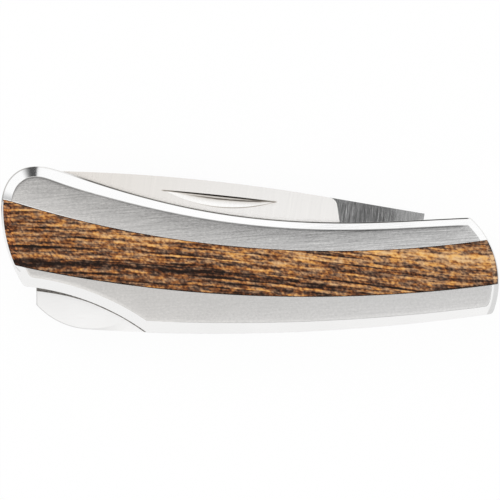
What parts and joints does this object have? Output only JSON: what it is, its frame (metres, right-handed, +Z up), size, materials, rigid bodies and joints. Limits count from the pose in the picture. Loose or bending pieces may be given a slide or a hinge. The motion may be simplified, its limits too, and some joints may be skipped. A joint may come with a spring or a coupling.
{
  "type": "folding pocket knife",
  "caption": "Folding pocket knife with a back lock, bevelled steel sides, a curved wood inlay along each side and a drop-point blade that folds into the handle.",
  "frame": {"origin": "centre of the closed knife's footprint, on the plane that its rear side rests on", "axes": "+X along the handle from the butt to the pivot end, +Y from the back to the blade slot, +Z up through the thickness"},
  "size_m": [0.086, 0.029, 0.0097],
  "materials": {
    "side_steel": "brushed flats with polished bevels",
    "inlay_wood": "oiled, dark streaks along the grain",
    "blade_steel": "satin ground",
    "bar_steel": "satin",
    "spring_steel": "tempered",
    "rivet_steel": "plain",
    "washer_brass": "plain"
  },
  "bodies": {
    "handle": {"front_frame": "side_steel", "rear_frame": "side_steel", "front_inlay": "inlay_wood", "rear_inlay": "inlay_wood", "butt_spacer": "side_steel", "lock_spring": "spring_steel", "pivot_rivet": "rivet_steel", "pivot_bushing": "rivet_steel", "front_washer": "washer_brass", "rear_washer": "washer_brass", "stop_rivet": "rivet_steel", "butt_rivet_low": "rivet_steel", "butt_rivet_high": "rivet_steel", "rocker_pin": "rivet_steel"},
    "blade": {"blade": "blade_steel"},
    "lock_bar": {"lock_bar": "bar_steel"}
  },
  "joints": [
    {"name": "blade_fold", "type": "hinge", "parent": "handle", "child": "blade", "pos_m": [0.03324, -0.00297, 0.00487], "axis": [0, 0, -1], "range_deg": [0, 170]},
    {"name": "lock_rock", "type": "hinge", "parent": "handle", "child": "lock_bar", "pos_m": [0.00095, -0.01057, 0.00487], "axis": [0, 0, -1], "range_deg": [-1.5, 1.4], "stiffness_Nm_per_rad": 4, "deforming": ["lock_spring"]}
  ]
}
